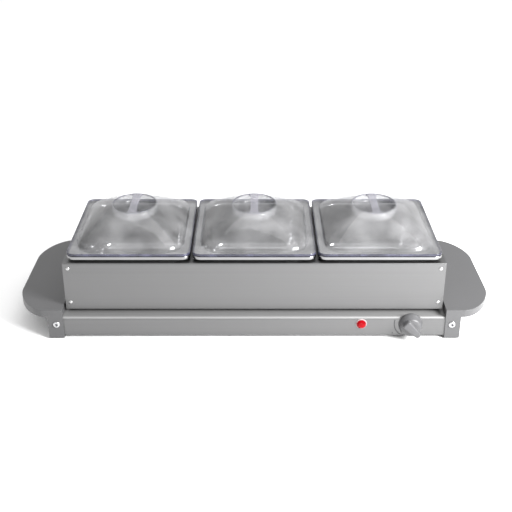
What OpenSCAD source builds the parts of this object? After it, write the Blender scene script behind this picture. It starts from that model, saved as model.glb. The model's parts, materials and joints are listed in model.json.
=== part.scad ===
// Three-pan electric buffet server: a heated base, a lift-off pan frame, three pans and three lids.
// Origin: middle of the footprint on the table. +Z up, -Y towards the guest, +X to the control side.

/* [Overall] */
// Width over both handles
server_w = 658; // [640:1:680]
// Depth of the base over its front and rear panels
base_d = 222; // [216:1:224]
// Depth of the two end caps
cap_d = 226; // [226:1:232]
// Height of the warming plate's top face
plate_z = 33; // [33:0.5:36]

/* [End caps] */
// Height of the end caps' top face
cap_z = 44.5; // [44:0.5:48]
// Distance between the end caps' inner edges
cap_gap = 524; // [522:1:526]
// Width of each leg as seen from the front
leg_w = 21; // [20:1:24]
// Height of the handle ledge's skirt
ledge_h = 10.5; // [9:0.5:11]
// Wall thickness of the moulded caps
cap_t = 2.6; // [2:0.1:3]
// Squareness of the handle's rounded corners, 2 for a true ellipse
corner_power = 1.7; // [1.5:0.1:2.5]

/* [Pan frame] */
// Width of the pan frame
frame_w = 518; // [516:1:520]
// Depth of the pan frame
frame_d = 197; // [196:1:200]
// Height of the pan frame's panels
frame_h = 70; // [68:1:74]
// Air gap between the warming plate and the frame's lower edge
frame_gap = 5.9; // [5:0.1:7]
// Height of the collars that carry the pans above the frame's top face
collar_h = 8.3; // [7:0.1:9]
// Sheet thickness of the frame
frame_t = 1.2; // [1:0.1:1.5]

/* [Pans] */
// Width of a pan's rim
pan_w = 167; // [165:1:168]
// Depth of a pan's rim
pan_d = 195; // [193:1:196]
// Distance between the pans' centres
pan_pitch = 170; // [170:0.5:171]
// Inside depth of a pan
pan_depth = 70; // [60:1:72]
// Width of the flat rim around the pan's mouth
rim_w = 11; // [10:0.5:12]
// Height of the turned-down bead at the rim's edge
bead_h = 5.8; // [4.5:0.1:6]
// Thickness of that bead
bead_t = 3.2; // [3:0.1:3.6]
// Wall thickness of a pan
pan_t = 1; // [0.8:0.1:1.2]

/* [Lids] */
// Height of a lid from its flange to the rim of its grip recess
lid_h = 37.6; // [36:0.1:40]
// Thickness of the clear moulding
lid_t = 2.2; // [1.8:0.1:2.5]
// Height of the lid's edge
lid_edge_h = 3.4; // [3:0.1:4]
// Height of the dome's steep wall above the lid's lower edge
shoulder_h = 9.4; // [7:0.1:12]
// Width of the grip recess
recess_w = 60; // [56:0.5:64]
// Length of the grip recess from front to rear
recess_l = 70; // [66:1:76]
// Depth of the grip recess
recess_depth = 12.5; // [10:0.5:14]
// Width of the grip bar across the recess
bar_w = 11; // [9:0.5:14]

/* [Controls] */
// Diameter of the thermostat knob
knob_d = 33; // [30:0.5:34]
// How far the knob stands out in front of the base
knob_out = 20; // [18:0.5:22]
// Knob position from the middle
knob_x = 214; // [208:1:220]
// Height of the knob's axis
knob_z = 23.2; // [22.5:0.1:23.4]
// Lamp position from the middle
lamp_x = 147; // [135:1:160]
// Height of the lamp's axis
lamp_z = 22.3; // [21:0.1:22.4]
// Diameter of the lamp's clear bezel
lamp_d = 15.6; // [13:0.1:16]

/* [Cord entry] */
// Radius of the gland's bore
cord_r = 3.8; // [3:0.1:4.2]
// Position of the gland from the middle
gland_x = 196; // [180:1:200]

/* [Hidden] */
$fn = 64;

// Base
sheet = 1;                              // folded steel of the base
plate_t = 1.2;                          // warming plate
fold_r = 2.4;                           // outside bend radius of the warming plate
fold_h = 2.6;                           // height of the warming plate's turned-down edge
seam = 0.5;                             // gap between that edge and the panels
panel_z = 4.7;                          // lower edge of the front and rear panels
panel_top = plate_z - fold_h - seam;    // upper edge of their visible face
plate_under = plate_z - plate_t;
cap_in = cap_gap / 2;                   // inner edge of the caps
leg_out = cap_in + leg_w;               // outer face of the legs
panel_half = leg_out - 4;               // panels end inside the legs
foot_out = 1;                           // how far the rubber feet stand below the legs
cover_z = panel_z + sheet;              // bottom cover lies on the panels' flanges
cover_top = cover_z + sheet;
screw_x = cap_in + 9.3;
screw_z = 22.3;
joggle = fold_r + 0.2;                  // step back of the panels behind the plate's edge
flange_in = 12;                         // width of the panels' lower flanges
cover_screw_x = [-180, -60, 60, 180];
cover_screw_y = base_d / 2 - 6.5;       // distance of the cover's screws from the middle
corner_x = leg_out + 4;                 // the handles' corner curves start here
corner_y = 50;

// Pans, lids and frame
frame_z = plate_z + frame_gap;
frame_top = frame_z + frame_h;
rim_under = frame_top + collar_h;       // underside of the pans' flat rims
rim_top = rim_under + pan_t;
bead_top = rim_top + 0.2;
mouth_r = 30;                           // corner radius of a pan's mouth
draft = 6.5;                            // how much a pan narrows on each side
floor_r = 12;                           // radius between a pan's wall and floor
rim_r = 11;                             // corner radius of the rims
pan_floor = rim_top - pan_depth;
mouth_w = pan_w - 2 * rim_w;
mouth_d = pan_d - 2 * rim_w;
collar_gap = 1.4;                       // from the pan's wall to the frame's collar
hole_x = mouth_w / 2 + pan_t + collar_gap;
hole_y = mouth_d / 2 + pan_t + collar_gap;
collar_x = hole_x - mouth_r;            // straight half-lengths of the collars
collar_y = hole_y - mouth_r;
side_tab = 15;
rivet_x = frame_w / 2 - 7;
rivet_low = frame_z + 10.5;
rivet_high = frame_top - 8.5;
lip = 26;                               // width of the frame's lower flanges
pad_x = 232;                            // rubber pads under the frame
pad_y = frame_d / 2 - lip + 7;
lid_z = bead_top;
lid_top = lid_z + lid_h;
dome_foot = 9.6;                        // from the lid's edge to the dome's foot
wall_lean = 1.3;                        // how far the dome's wall leans in over its height
crown_fall = 0.42;                      // fall of the crown towards its corners
recess_r = recess_w / 2 - 1;            // corner radius of the recess
crown_edge = 3;                         // level rim around the recess
bar_t = 3.2;

// Heater
tube_r = 3.2;
run_half = 165;
run_gap = 44;
tube_z = plate_under - 0.8 - tube_r;
spread_z = plate_under - 0.8;
board_z = 17;                           // insulation board
board_t = 4;
pillar_x = 170;
pillar_y = 70;

// Thermostat and knob
stat_y = -base_d / 2 + sheet;           // rear face of the front panel
shaft_r = 3;
running = 0.05;                         // radial clearance of turning fits
bush_r = 4.2;
knob_back = -base_d / 2 - 1;
knob_front = -base_d / 2 - knob_out;
stat_w = 26;                            // width of the thermostat
gland_z = 17.5;
stat_rear = stat_y + 27;                // rear face of the thermostat
lamp_rear = -base_d / 2 + 30;           // rear end of the lamp's blades
blade_gap = 2.2;                        // of each blade from the lamp's axis
bulb_x = 202.5;
terminal_x = 222;                       // face of the terminal block where the wires enter
terminal_y = [55, 66, 77];              // live, neutral and earth
earth_x = 150;
wire_r = 1.2;
wire_z = cover_top + 5;
wire_front = -78.6;                     // where the lamp's wire passes in front of the insulation
gland_out = knob_out;                   // gland and knob stand out equally far

// ---------- shared shapes ----------

module rounded_rect(w, d, r) {
    square([w - 2 * r, d], center = true);
    square([w, d - 2 * r], center = true);
    for (sx = [-1, 1], sy = [-1, 1])
        translate([sx * (w / 2 - r), sy * (d / 2 - r)]) circle(r = r);
}

// Sweeps a profile round a rounded rectangle. The profile's x counts outwards from the corner's centre.
module sweep_round(w, d, r) {
    for (quarter = [0 : 3]) {
        a = quarter % 2 == 0 ? w : d;
        b = quarter % 2 == 0 ? d : w;
        rotate([0, 0, 90 * quarter]) translate([a / 2 - r, b / 2 - r, 0]) {
            rotate_extrude(angle = 90) children();
            rotate([90, 0, 0]) linear_extrude(height = b - 2 * r) children();
        }
    }
}

// A box given by its two corners.
module block(low, high) {
    translate(low) cube(high - low);
}

// A cylinder along Y, from y0 to y1.
module rod_y(x, z, y0, y1, r) {
    translate([x, y1, z]) rotate([90, 0, 0]) cylinder(r = r, h = y1 - y0);
}

// Its children, and their mirror image at the rear.
module front_and_rear() {
    for (end = [0, 1]) mirror([0, end, 0]) children();
}

function arc(cx, cz, r, from, to, steps) =
    [for (i = [0 : steps]) let (a = from + (to - from) * i / steps) [cx + r * cos(a), cz + r * sin(a)]];

// ---------- base casing ----------

module warming_plate() {
    color("silver") {
        half = base_d / 2;
        rotate([90, 0, 90]) translate([0, 0, -panel_half]) linear_extrude(height = 2 * panel_half) {
            translate([-(half - fold_r), plate_under]) square([2 * (half - fold_r), plate_t]);
            for (side = [-1, 1]) {
                translate([side * (half - fold_r), plate_z - fold_r]) intersection() {
                    difference() {
                        circle(r = fold_r);
                        circle(r = fold_r - plate_t);
                    }
                    translate([side > 0 ? 0 : -fold_r, 0]) square(fold_r);
                }
                translate([side > 0 ? half - plate_t : -half, plate_z - fold_h])
                    square([plate_t, fold_h - fold_r]);
            }
        }
    }
}

// Folded panel seen at the front: face, joggle behind the plate's edge, and lower flange.
module folded_panel() {
    half = base_d / 2;
    block([-panel_half, -half, panel_z], [panel_half, -half + sheet, panel_top]);
    block([-panel_half, -half, panel_top - sheet], [panel_half, -half + joggle + sheet, panel_top]);
    block([-panel_half, -half + joggle, panel_top - sheet],
          [panel_half, -half + joggle + sheet, plate_under]);
    block([-panel_half, -half, panel_z], [panel_half, -half + flange_in, panel_z + sheet]);
}

module cap_screw_holes() {
    for (side = [-1, 1]) rod_y(side * screw_x, screw_z, -base_d / 2 - 1, -base_d / 2 + 3, 2.2);
}

module cover_screw_holes() {
    for (x = cover_screw_x) translate([x, -cover_screw_y, panel_z - 1]) cylinder(r = 1.7, h = 4);
}

module front_panel() {
    color("silver") difference() {
        folded_panel();
        cap_screw_holes();
        cover_screw_holes();
        rod_y(knob_x, knob_z, -base_d / 2 - 1, stat_y + 0.1, bush_r + 0.1);
        rod_y(lamp_x, lamp_z, -base_d / 2 - 1, stat_y + 0.1, 4.7);
    }
}

module rear_panel() {
    color("silver") difference() {
        mirror([0, 1, 0]) difference() {
            folded_panel();
            cap_screw_holes();
            cover_screw_holes();
        }
        rod_y(gland_x, gland_z, base_d / 2 - 2, base_d / 2 + 1, 6.1);
    }
}

module bottom_cover() {
    deep = base_d / 2 - sheet - 0.4;
    color("gainsboro") difference() {
        block([-panel_half, -deep, cover_z], [panel_half, deep, cover_top]);
        front_and_rear() cover_screw_holes();
        for (x = [-150 : 30 : 150], y = [-45, 45])
            translate([x, y, cover_z - 1]) linear_extrude(height = 3) rounded_rect(4, 24, 1.9);
        translate([earth_x, 0, cover_z - 1]) cylinder(r = 2.1, h = 3);
    }
}

module bottom_cover_screws() {
    color("dimgray") front_and_rear()
        for (x = cover_screw_x) translate([x, -cover_screw_y, 0]) difference() {
            union() {
                translate([0, 0, panel_z - 2]) cylinder(r = 3.2, h = 2);
                translate([0, 0, panel_z - 0.5]) cylinder(r = 1.6, h = 5.5);
            }
            for (turn = [0, 90]) rotate([0, 0, turn])
                translate([-1.8, -0.35, panel_z - 3]) cube([3.6, 0.7, 2]);
        }
}

// ---------- end caps ----------

// One corner of the handle's outline, from the leg's outer face to the handle's outer edge.
function handle_corner(side, inset) = [for (i = [0 : 14]) let (
    a = 90 * i / 14,
    reach = server_w / 2 - corner_x - inset,
    depth = cap_d / 2 - corner_y - inset)
    [corner_x + reach * pow(sin(a), 2 / corner_power),
     side * (corner_y + depth * pow(cos(a), 2 / corner_power))]];

// Outline of an end cap from x = inner outwards, drawn in by inset.
module cap_outline(inner, inset) {
    rear = handle_corner(1, inset);
    edge = cap_d / 2 - inset;
    polygon(concat([[inner, -edge]], handle_corner(-1, inset),
                   [for (i = [14 : -1 : 0]) rear[i]], [[inner, edge]]));
}

module end_cap_right() {
    half = base_d / 2;
    ledge_z = cap_z - ledge_h;
    leg_d = 24;
    leg_z = foot_out;
    difference() {
        union() {
            // top and ledge
            translate([0, 0, ledge_z]) linear_extrude(height = ledge_h) cap_outline(cap_in, 0);
            // end wall
            block([leg_out - cap_t, -cap_d / 2 + 2, panel_z], [leg_out, cap_d / 2 - 2, cap_z - 1]);
            // legs
            front_and_rear() block([cap_in, -cap_d / 2, leg_z], [leg_out, -cap_d / 2 + leg_d, cap_z - 1]);
        }
        // hollow above the plate, between the legs and the end wall
        block([cap_in + cap_t, -cap_d / 2 + cap_t, plate_z],
              [leg_out - cap_t, cap_d / 2 - cap_t, cap_z - cap_t]);
        // room for the plate, the panels and the cover
        block([cap_in - 1, -half, panel_z], [leg_out - cap_t, half, plate_z]);
        // hollow under the ledge
        translate([0, 0, ledge_z - 1]) linear_extrude(height = ledge_h + 1 - cap_t)
            cap_outline(leg_out, cap_t);
        // screws and feet
        front_and_rear() {
            rod_y(screw_x, screw_z, -cap_d / 2 - 1, -half + 1, 2.2);
            translate([screw_x + 1, -cap_d / 2 + 11, leg_z - 1]) cylinder(r = 5.05, h = 3.05);
        }
    }
    // ribs that stiffen the ledge
    for (y = [-78, 78])
        block([leg_out - 0.5, y - 1, cap_z - 8], [leg_out + 26, y + 1, cap_z - cap_t + 0.2]);
}

module right_end_cap() {
    color("gray") end_cap_right();
}

module left_end_cap() {
    color("gray") mirror([1, 0, 0]) end_cap_right();
}

module end_cap_screws() {
    color("silver") for (side = [-1, 1]) front_and_rear()
        translate([side * screw_x, -cap_d / 2, screw_z]) rotate([90, 0, 0]) difference() {
            union() {
                cylinder(r1 = 4.8, r2 = 3.6, h = 1.9);
                translate([0, 0, -9]) cylinder(r = 2, h = 9.5);
            }
            for (turn = [45, 135]) rotate([0, 0, turn])
                translate([-2.4, -0.45, 0.7]) cube([4.8, 0.9, 2]);
        }
}

module end_cap_nuts() {
    color("silver") for (side = [-1, 1]) front_and_rear()
        translate([side * screw_x, -base_d / 2 + sheet, screw_z]) rotate([-90, 0, 0]) difference() {
            cylinder(r = 4.2, h = 3.2, $fn = 6);
            translate([0, 0, -1]) cylinder(r = 2.03, h = 6);
        }
}

module rubber_feet() {
    color("dimgray") for (side = [-1, 1]) front_and_rear()
        translate([side * (screw_x + 1), -cap_d / 2 + 11, 0]) cylinder(r = 5, h = 3);
}

// ---------- heater ----------

module heat_spreader() {
    color("lightgray") block([-205, -88, spread_z], [205, 88, plate_under]);
}

// Tubular element: four runs joined by three bends, with its two ends turned down at the right.
module heating_element() {
    runs = [-1.5, -0.5, 0.5, 1.5];
    color("saddlebrown") {
        for (run = runs)
            translate([-run_half, run * run_gap, tube_z]) rotate([0, 90, 0])
                cylinder(r = tube_r, h = 2 * run_half, $fn = 32);
        for (bend = [[1, -1], [-1, 0], [1, 1]])
            translate([bend[0] * run_half, bend[1] * run_gap, tube_z]) rotate([0, 0, -90 * bend[0]])
                rotate_extrude(angle = 180) translate([run_gap / 2, 0]) circle(r = tube_r, $fn = 32);
    }
}

module heater_clamps() {
    color("silver") for (x = [-150, 0, 150], run = [-1.5, -0.5, 0.5, 1.5])
        translate([x, run * run_gap, 0]) difference() {
            union() {
                block([-5, -tube_r - 1.1, tube_z - tube_r - 1.1], [5, tube_r + 1.1, spread_z]);
                block([-5, -tube_r - 8, spread_z - 1], [5, tube_r + 8, spread_z]);
            }
            translate([-6, 0, tube_z]) rotate([0, 90, 0]) cylinder(r = tube_r + 0.05, h = 12, $fn = 32);
            block([-6, -tube_r - 0.05, tube_z], [6, tube_r + 0.05, spread_z + 1]);
        }
}

module heater_terminals() {
    color("ivory") for (run = [-1.5, 1.5])
        translate([-run_half - 9, run * run_gap, tube_z]) rotate([0, 90, 0]) {
            cylinder(r = tube_r - 0.15, h = 9);
            translate([0, 0, -6]) cylinder(r = 1.4, h = 7);
        }
}

module insulation_board() {
    color("ivory") difference() {
        block([-200, -75, board_z], [194, 84, board_z + board_t]);
        for (x = [-pillar_x, pillar_x], y = [-pillar_y, pillar_y])
            translate([x, y, board_z - 1]) cylinder(r = 2.6, h = board_t + 2);
    }
}

module insulation_pillars() {
    color("silver") for (x = [-pillar_x, pillar_x], y = [-pillar_y, pillar_y]) translate([x, y, 0]) {
        translate([0, 0, cover_top]) cylinder(r = 4, h = board_z - cover_top);
        translate([0, 0, board_z - 0.5]) cylinder(r = 2.5, h = board_t + 2.5);
        translate([0, 0, board_z + board_t]) cylinder(r = 4, h = 1);
    }
}

// ---------- thermostat, lamp and wiring ----------

module thermostat_body() {
    color("gainsboro") difference() {
        union() {
            block([knob_x - stat_w / 2, stat_y + joggle, knob_z - 13],
                  [knob_x + stat_w / 2, stat_rear, knob_z + 6.2]);
            rod_y(knob_x, knob_z, -base_d / 2 - 3.6, stat_y + 1, bush_r);
            rod_y(knob_x, knob_z, stat_y, stat_y + joggle + 0.5, 4.3);
        }
        rod_y(knob_x, knob_z, -base_d / 2 - 5, stat_y + 18, shaft_r + running);
        // slots for the two spade connectors
        for (x = [knob_x - 7, knob_x + 7])
            block([x - 3.1, stat_rear - 3, knob_z - 10.4], [x + 3.1, stat_rear + 1, knob_z - 9.6]);
    }
}

module thermostat_nut() {
    color("silver") difference() {
        translate([knob_x, -base_d / 2, knob_z]) rotate([90, 0, 0]) cylinder(r = 6.6, h = 2.2, $fn = 6);
        rod_y(knob_x, knob_z, -base_d / 2 - 5, -base_d / 2 + 1, bush_r + 0.02);
    }
}

// Sensing bulb clipped under the spreader, with its capillary from the thermostat.
module thermostat_bulb() {
    color("peru") {
        rod_y(bulb_x, spread_z - 3.2, -60, 20, 2.6);
        rod_y(bulb_x, spread_z - 3.2, stat_rear, -59, 0.9);
        for (y = [-45, 5]) block([bulb_x - 2, y - 3, spread_z - 2], [bulb_x + 2, y + 3, spread_z]);
    }
}

module thermal_fuse() {
    color("silver") translate([60, 0, spread_z - 3.4]) rotate([0, 90, 0]) {
        cylinder(r = 2.6, h = 24);
        translate([0, 0, -14]) cylinder(r = 0.8, h = 52);
    }
}

module fuse_clip() {
    color("darkgray") for (x = [66, 76]) translate([x, 0, 0]) difference() {
        union() {
            block([-2, -3.6, spread_z - 7], [2, 3.6, spread_z]);
            block([-2, -8, spread_z - 1], [2, 8, spread_z]);
        }
        translate([-3, 0, spread_z - 3.4]) rotate([0, 90, 0]) cylinder(r = 2.65, h = 6);
    }
}

module lamp_bezel() {
    face = -base_d / 2;
    color("whitesmoke") difference() {
        union() {
            translate([lamp_x, face, lamp_z]) rotate([90, 0, 0])
                cylinder(r1 = lamp_d / 2, r2 = lamp_d / 2 - 0.8, h = 1.4);
            rod_y(lamp_x, lamp_z, face - 0.5, face + 9, 4.6);
        }
        rod_y(lamp_x, lamp_z, face - 2, face + 10, 3.9);
    }
}

// Red lens: a round stem in the bezel and an eight-sided faceted head in front of it.
module lamp_lens() {
    head_r = lamp_d / 2 - 1.5;
    color("red") translate([lamp_x, -base_d / 2, lamp_z]) rotate([90, 0, 0]) {
        translate([0, 0, -8]) cylinder(r = 3.85, h = 10);
        translate([0, 0, 1.4]) rotate([0, 0, 22.5]) {
            cylinder(r = head_r, h = 0.8, $fn = 8);
            translate([0, 0, 0.8]) cylinder(r1 = head_r, r2 = head_r * 0.62, h = 1.6, $fn = 8);
        }
    }
}

module lamp_housing() {
    face = -base_d / 2;
    color("whitesmoke") {
        rod_y(lamp_x, lamp_z, face + 9, face + 24, 4.6);
        for (x = [lamp_x - blade_gap, lamp_x + blade_gap])
            block([x - 0.4, face + 23, lamp_z - 2], [x + 0.4, lamp_rear, lamp_z + 2]);
    }
}

module terminal_block() {
    color("ivory") difference() {
        block([terminal_x, 48, cover_top], [terminal_x + 22, 84, cover_top + 11]);
        for (y = terminal_y) {
            translate([terminal_x + 11, y, cover_top + 4]) cylinder(r = 2.6, h = 10);
            translate([terminal_x - 1, y, wire_z]) rotate([0, 90, 0]) cylinder(r = 1.7, h = 24);
        }
    }
}

module terminal_screws() {
    color("silver") for (y = terminal_y) translate([terminal_x + 11, y, cover_top + 7.2]) difference() {
        cylinder(r = 2.3, h = 3);
        translate([-2.5, -0.4, 2]) cube([5, 0.8, 2]);
    }
}

module earth_stud() {
    color("gold") translate([earth_x, 0, 0]) {
        translate([0, 0, cover_z - 2.5]) cylinder(r = 3.4, h = 2.5);
        translate([0, 0, cover_z - 0.5]) cylinder(r = 2, h = 10);
        translate([0, 0, cover_top]) difference() {
            cylinder(r = 4, h = 3, $fn = 6);
            translate([0, 0, -1]) cylinder(r = 1.9, h = 5);
        }
    }
}

module cable_gland() {
    rear = base_d / 2;
    color("dimgray") difference() {
        union() {
            rod_y(gland_x, gland_z, rear, rear + 3, 9);
            rod_y(gland_x, gland_z, rear - 10, rear + 1, 6);
            translate([gland_x, rear + 2.9, gland_z]) rotate([-90, 0, 0])
                cylinder(r1 = 7, r2 = 5.6, h = gland_out - 2.9);
        }
        rod_y(gland_x, gland_z, rear - 11, rear + gland_out + 1, cord_r);
    }
}

module gland_nut() {
    rear = base_d / 2;
    color("dimgray") difference() {
        translate([gland_x, rear - sheet, gland_z]) rotate([90, 0, 0]) cylinder(r = 9.6, h = 4, $fn = 6);
        rod_y(gland_x, gland_z, rear - 10, rear, 6.05);
    }
}

module cord_clamp() {
    color("ivory") difference() {
        block([gland_x - 12, 86, cover_top], [gland_x + 12, 96, gland_z + 6]);
        rod_y(gland_x, gland_z, 85, 97, cord_r);
        for (x = [-8.5, 8.5]) translate([gland_x + x, 91, gland_z]) cylinder(r = 1.5, h = 8);
    }
}

// A wire through a list of points, with a short upright sleeve at each bend.
module wire(points) {
    for (i = [0 : len(points) - 2]) {
        span = points[i + 1] - points[i];
        reach = norm(span);
        translate(points[i]) rotate([0, acos(span[2] / reach), atan2(span[1], span[0])])
            cylinder(r = wire_r, h = reach, $fn = 24);
    }
    sleeve_r = wire_r + 0.4;
    for (i = [1 : len(points) - 2])
        translate(points[i] - [0, 0, sleeve_r]) cylinder(r = sleeve_r, h = 2 * sleeve_r, $fn = 24);
}

module wire_live() {
    y = terminal_y[0];
    color("brown") wire([[terminal_x, y, wire_z], [213, y, wire_z], [213, stat_rear, wire_z]]);
}

module wire_neutral() {
    y = terminal_y[1];
    blade_x = lamp_x + blade_gap;
    color("royalblue") wire([[terminal_x, y, wire_z], [206, y, wire_z], [206, wire_front, wire_z],
                             [blade_x, wire_front, wire_z], [blade_x, wire_front, lamp_z],
                             [blade_x, lamp_rear, lamp_z]]);
}

module wire_earth() {
    y = terminal_y[2];
    color("yellowgreen") wire([[terminal_x, y, wire_z], [199, y, wire_z], [199, 20, wire_z],
                               [earth_x + 2.4, 0, wire_z]]);
}

// ---------- knob ----------

module knob() {
    deep = knob_back - knob_front;
    skirt_r = knob_d / 2;
    color("gray") translate([knob_x, knob_back, knob_z]) rotate([90, 0, 0]) difference() {
        union() {
            cylinder(r = skirt_r, h = 4);
            translate([0, 0, 3.9]) cylinder(r1 = skirt_r, r2 = skirt_r - 3.6, h = 8.6);
            rotate([0, 0, -45]) translate([1.4, 0, 5]) linear_extrude(height = deep - 5)
                rounded_rect(knob_d - 3, 11.5, 4.5);
        }
        difference() {
            translate([0, 0, -1]) cylinder(r = skirt_r - 2, h = 5.5);
            cylinder(r = 5.2, h = 20);
        }
        translate([0, 0, -1]) cylinder(r = shaft_r + running, h = 12);
        translate([0, 0, -1]) cylinder(r = 5.2, h = 4.4);
    }
}

module thermostat_shaft() {
    tip = knob_back - 10.5;
    color("silver") difference() {
        rod_y(knob_x, knob_z, tip, stat_y + 17.5, shaft_r);
        block([knob_x - 4, tip - 1, knob_z + 1.8], [knob_x + 4, tip + 6, knob_z + 4]);
    }
}

// Flat spring between the shaft's flat and the hub.
module knob_spring_clip() {
    color("darkgray")
        block([knob_x - 1.9, knob_back - 10.2, knob_z + 1.85], [knob_x + 1.9, knob_back - 5, knob_z + 2.25]);
}

// Dial marks raised on the panel beside the knob: an arc and a dot.
module dial_arc() {
    mark_r = knob_d / 2 + 4.6;
    mark_t = 0.25;
    color("dimgray") translate([knob_x, -base_d / 2, knob_z]) rotate([90, 0, 0]) {
        rotate([0, 0, 166]) rotate_extrude(angle = 70) translate([mark_r, 0]) square([1.1, mark_t]);
        rotate([0, 0, 213]) translate([28, 0, 0]) cylinder(r = 0.9, h = mark_t);
    }
}

// ---------- pan frame ----------

// Front panel of the frame: face with a rounded top bend, top flange, collars and lower flange.
module frame_long_panel() {
    half = frame_d / 2;
    bend = 2;
    for (pan = [-1, 0, 1])
        block([pan * pan_pitch - collar_x, -hole_y - frame_t, frame_top - frame_t],
              [pan * pan_pitch + collar_x, -hole_y, rim_under]);
    rotate([90, 0, 90]) translate([0, 0, -frame_w / 2]) linear_extrude(height = frame_w) {
        translate([-half, frame_z]) square([frame_t, frame_h - bend]);
        translate([-half + bend, frame_top - frame_t]) square([half - bend - hole_y, frame_t]);
        translate([-half + bend, frame_top - bend]) intersection() {
            difference() {
                circle(r = bend);
                circle(r = bend - frame_t);
            }
            translate([-bend, 0]) square(bend);
        }
        translate([-half, frame_z]) square([lip, frame_t]);
    }
}

module rivet_holes() {
    for (side = [-1, 1], z = [rivet_low, rivet_high])
        rod_y(side * rivet_x, z, -frame_d / 2 - 1, -frame_d / 2 + 4, 1.65);
}

module pad_holes() {
    for (side = [-1, 1])
        translate([side * pad_x, -pad_y, frame_z - 1]) cylinder(r = 2.05, h = 4);
}

module frame_front() {
    color("silver") difference() {
        frame_long_panel();
        rivet_holes();
        pad_holes();
    }
}

module frame_rear() {
    color("silver") mirror([0, 1, 0]) difference() {
        frame_long_panel();
        rivet_holes();
        pad_holes();
    }
}

// Right end of the frame: face, top flange with its collar, and tabs behind the long panels.
module frame_end_panel() {
    out = frame_w / 2;
    inner = pan_pitch + hole_x;
    deep = frame_d / 2 - frame_t;
    block([out - frame_t, -deep, frame_z + frame_t], [out, deep, frame_top - 2.2]);
    block([out - frame_t, -hole_y, frame_top - 3], [out, hole_y, frame_top - frame_t]);
    block([inner, -hole_y, frame_top - frame_t], [out, hole_y, frame_top]);
    block([inner, -collar_y, frame_top - frame_t], [inner + frame_t, collar_y, rim_under]);
    front_and_rear()
        block([out - side_tab, -deep, frame_z + 4], [out, -deep + frame_t, frame_top - 3]);
}

module frame_right_side() {
    color("silver") difference() {
        frame_end_panel();
        front_and_rear() rivet_holes();
    }
}

module frame_left_side() {
    color("silver") mirror([1, 0, 0]) difference() {
        frame_end_panel();
        front_and_rear() rivet_holes();
    }
}

// Channel between two pans, with its ends under the long panels' top flanges.
module frame_divider(x) {
    reach = pan_pitch / 2 - hole_x;
    color("silver") translate([x, 0, 0]) {
        block([-reach, -hole_y, frame_top - frame_t], [reach, hole_y, frame_top]);
        for (side = [-1, 1])
            block([side > 0 ? reach - frame_t : -reach, -collar_y, frame_top - frame_t],
                  [side > 0 ? reach : -reach + frame_t, collar_y, rim_under]);
        front_and_rear()
            block([-reach, -hole_y - 7, frame_top - 2 * frame_t], [reach, -hole_y + 4, frame_top - frame_t]);
    }
}

module frame_divider_left() {
    frame_divider(-pan_pitch / 2);
}

module frame_divider_right() {
    frame_divider(pan_pitch / 2);
}

module frame_rivets() {
    color("white") for (side = [-1, 1], z = [rivet_low, rivet_high]) front_and_rear()
        translate([side * rivet_x, -frame_d / 2, z]) rotate([90, 0, 0]) {
            intersection() {
                translate([0, 0, -1.7]) sphere(r = 3.2);
                cylinder(r = 3.2, h = 2);
            }
            translate([0, 0, -2 * frame_t - 0.8]) cylinder(r = 1.6, h = 2 * frame_t + 1);
            translate([0, 0, -2 * frame_t - 0.8]) cylinder(r = 2.6, h = 0.8);
        }
}

module frame_pads() {
    color("dimgray") for (side = [-1, 1]) front_and_rear()
        translate([side * pad_x, -pad_y, 0]) {
            translate([0, 0, plate_z]) cylinder(r = 4.5, h = frame_gap);
            translate([0, 0, frame_z - 0.5]) cylinder(r = 2, h = 3);
            translate([0, 0, frame_z + frame_t]) cylinder(r = 3, h = 1.4);
        }
}

// ---------- pans ----------

// Section of a pan's wall and floor, from the mouth to the middle of its floor.
module pan_section() {
    low_r = mouth_r - draft;
    inside = concat([[mouth_r, rim_top]],
                    arc(low_r - floor_r, pan_floor + floor_r, floor_r, 0, -90, 8),
                    [[0, pan_floor]]);
    outside = concat([[0, pan_floor - pan_t]],
                     arc(low_r - floor_r, pan_floor + floor_r, floor_r + pan_t, -90, 0, 8),
                     [[mouth_r + pan_t, rim_top]]);
    polygon(concat(inside, outside));
}

module pan(x) {
    core_w = mouth_w - 2 * mouth_r;
    core_d = mouth_d - 2 * mouth_r;
    color("silver") translate([x, 0, 0]) {
        sweep_round(mouth_w, mouth_d, mouth_r) pan_section();
        block([-core_w / 2, -core_d / 2, pan_floor - pan_t], [core_w / 2, core_d / 2, pan_floor]);
        translate([0, 0, rim_under]) linear_extrude(height = pan_t) difference() {
            rounded_rect(pan_w - bead_t, pan_d - bead_t, rim_r - bead_t / 2);
            rounded_rect(mouth_w + pan_t, mouth_d + pan_t, mouth_r + pan_t / 2);
        }
        sweep_round(pan_w, pan_d, rim_r)
            translate([rim_r - bead_t / 2, bead_top - bead_h / 2])
                rounded_rect(bead_t, bead_h, bead_t / 2 - 0.1, $fn = 32);
    }
}

module pan_left() {
    pan(-pan_pitch);
}

module pan_centre() {
    pan(0);
}

module pan_right() {
    pan(pan_pitch);
}

// ---------- lids ----------

// Section of the dome: a steep wall, then a straight slope up to the level rim of the recess.
module dome_section(half, level, inset) {
    shoulder = half - wall_lean - inset;
    shoulder_z = lid_z + shoulder_h - inset * 0.6;
    level_z = lid_top - inset * 1.15;
    polygon([[-half + inset, lid_z - 2], [half - inset, lid_z - 2], [shoulder, shoulder_z],
             [level, level_z], [-level, level_z], [-shoulder, shoulder_z]]);
}

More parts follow.
